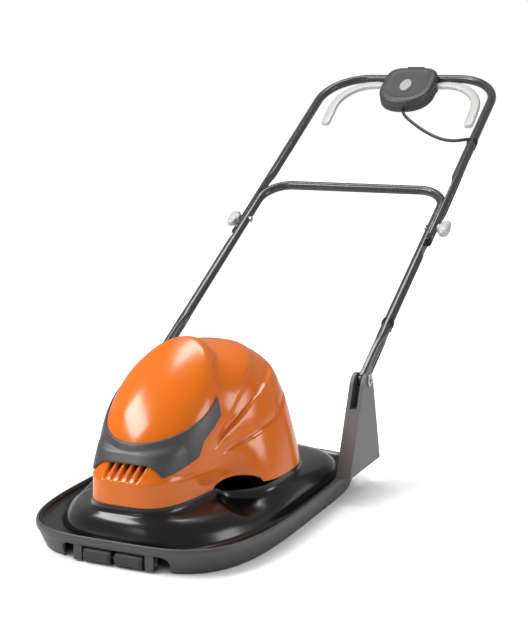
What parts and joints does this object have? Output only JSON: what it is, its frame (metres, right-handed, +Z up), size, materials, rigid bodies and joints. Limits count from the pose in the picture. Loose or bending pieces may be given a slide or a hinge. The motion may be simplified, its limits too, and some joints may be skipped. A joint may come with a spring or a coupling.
{
  "type": "hover mower",
  "caption": "Electric hover mower with a moulded hood and bumper, front rollers, an arched motor cover with a visor, and a folding tube handle with a switchbox and squeeze levers.",
  "frame": {"origin": "on the ground, below the middle of the whole machine", "axes": "+Y points back along the handle, -Y to the front rollers, +X to the right of someone facing the front of the machine from behind, +Z up"},
  "size_m": [0.4794, 1.4428, 0.7407],
  "materials": {
    "hood_black": "gloss",
    "bumper_grey": "satin",
    "cover_orange": "gloss",
    "visor_grey": "satin",
    "pillar_grey": "satin",
    "roller_grey": "satin",
    "zinc": "satin",
    "steel": "satin",
    "motor_alloy": "satin",
    "lamination": "satin",
    "copper": "satin",
    "brass": "satin",
    "carbon": "matte",
    "capacitor_blue": "satin",
    "fan_black": "satin",
    "spacer_yellow": "satin",
    "tube_paint": "gloss",
    "white_plastic": "satin",
    "black_plastic": "satin",
    "box_grey": "satin",
    "lid_grey": "satin",
    "lead_black": "satin"
  },
  "bodies": {
    "deck": {"hood": "hood_black", "bumper": "bumper_grey", "motor_cover": "cover_orange", "visor": "visor_grey", "cover_screws": "zinc", "pillar_left": "pillar_grey", "pillar_right": "pillar_grey", "pivot_bolts": "zinc", "pivot_nuts": "zinc", "roller_axle": "zinc", "roller_brackets": "bumper_grey", "motor_foot": "motor_alloy", "stator": "lamination", "field_coils": "copper", "top_bracket": "motor_alloy", "motor_screws": "zinc", "lower_bearing": "steel", "upper_bearing": "steel", "brush_holders": "brass", "carbon_brushes": "carbon", "suppressor": "capacitor_blue", "lead_deck": "lead_black", "lead_gland": "lead_black"},
    "rotor": {"motor_shaft": "steel", "armature": "lamination", "commutator": "copper", "fan": "fan_black", "blade_spacer": "spacer_yellow", "blade": "steel", "blade_washer": "zinc", "blade_bolt": "zinc"},
    "roller_left": {"roller_left": "roller_grey"},
    "roller_right": {"roller_right": "roller_grey"},
    "lower_frame": {"lower_handle": "tube_paint", "clamp_bolts": "zinc", "lower_clip": "black_plastic", "lead_lower": "lead_black"},
    "upper_frame": {"upper_handle": "tube_paint", "end_plugs": "black_plastic", "upper_clip": "black_plastic", "lead_upper": "lead_black", "switchbox_base": "box_grey", "switchbox_lid": "lid_grey", "box_screws": "zinc", "mains_inlet": "black_plastic", "switch": "black_plastic", "button_guide": "black_plastic", "lever_pin": "steel"},
    "knob_left": {"knob_left": "white_plastic"},
    "knob_right": {"knob_right": "white_plastic"},
    "lock_button": {"lock_button": "white_plastic"},
    "lever_left": {"lever_left": "white_plastic"},
    "lever_right": {"lever_right": "white_plastic"}
  },
  "joints": [
    {"name": "handle_pivot", "type": "hinge", "parent": "deck", "child": "lower_frame", "pos_m": [0, -0.19644, 0.1975], "axis": [1, 0, 0], "range_deg": [0, 60]},
    {"name": "handle_fold", "type": "hinge", "parent": "lower_frame", "child": "upper_frame", "pos_m": [0, 0.195, 0.4235], "axis": [1, 0, 0], "range_deg": [0, 125]},
    {"name": "blade_spin", "type": "hinge", "parent": "deck", "child": "rotor", "pos_m": [0, -0.43144, 0.02], "axis": [0, 0, 1], "continuous": true},
    {"name": "roller_left_spin", "type": "hinge", "parent": "deck", "child": "roller_left", "pos_m": [-0.027, -0.70744, 0.013], "axis": [1, 0, 0], "continuous": true},
    {"name": "roller_right_spin", "type": "hinge", "parent": "deck", "child": "roller_right", "pos_m": [0.027, -0.70744, 0.013], "axis": [1, 0, 0], "continuous": true},
    {"name": "knob_left_turn", "type": "hinge", "parent": "lower_frame", "child": "knob_left", "pos_m": [-0.235, 0.195, 0.4235], "axis": [1, 0, 0], "continuous": true},
    {"name": "knob_right_turn", "type": "hinge", "parent": "lower_frame", "child": "knob_right", "pos_m": [0.235, 0.195, 0.4235], "axis": [1, 0, 0], "continuous": true},
    {"name": "lever_left_squeeze", "type": "hinge", "parent": "upper_frame", "child": "lever_left", "pos_m": [-0.05, 0.67678, 0.69704], "axis": [-1, 0, 0], "range_deg": [0, 9], "stiffness_Nm_per_rad": 2},
    {"name": "lever_right_squeeze", "type": "hinge", "parent": "upper_frame", "child": "lever_right", "pos_m": [0.05, 0.67678, 0.69704], "axis": [-1, 0, 0], "range_deg": [0, 9], "stiffness_Nm_per_rad": 2},
    {"name": "lock_button_press", "type": "slide", "parent": "upper_frame", "child": "lock_button", "axis": [0, 0.5604, -0.8282], "range_m": [0, 0.004], "stiffness_N_per_m": 400}
  ]
}
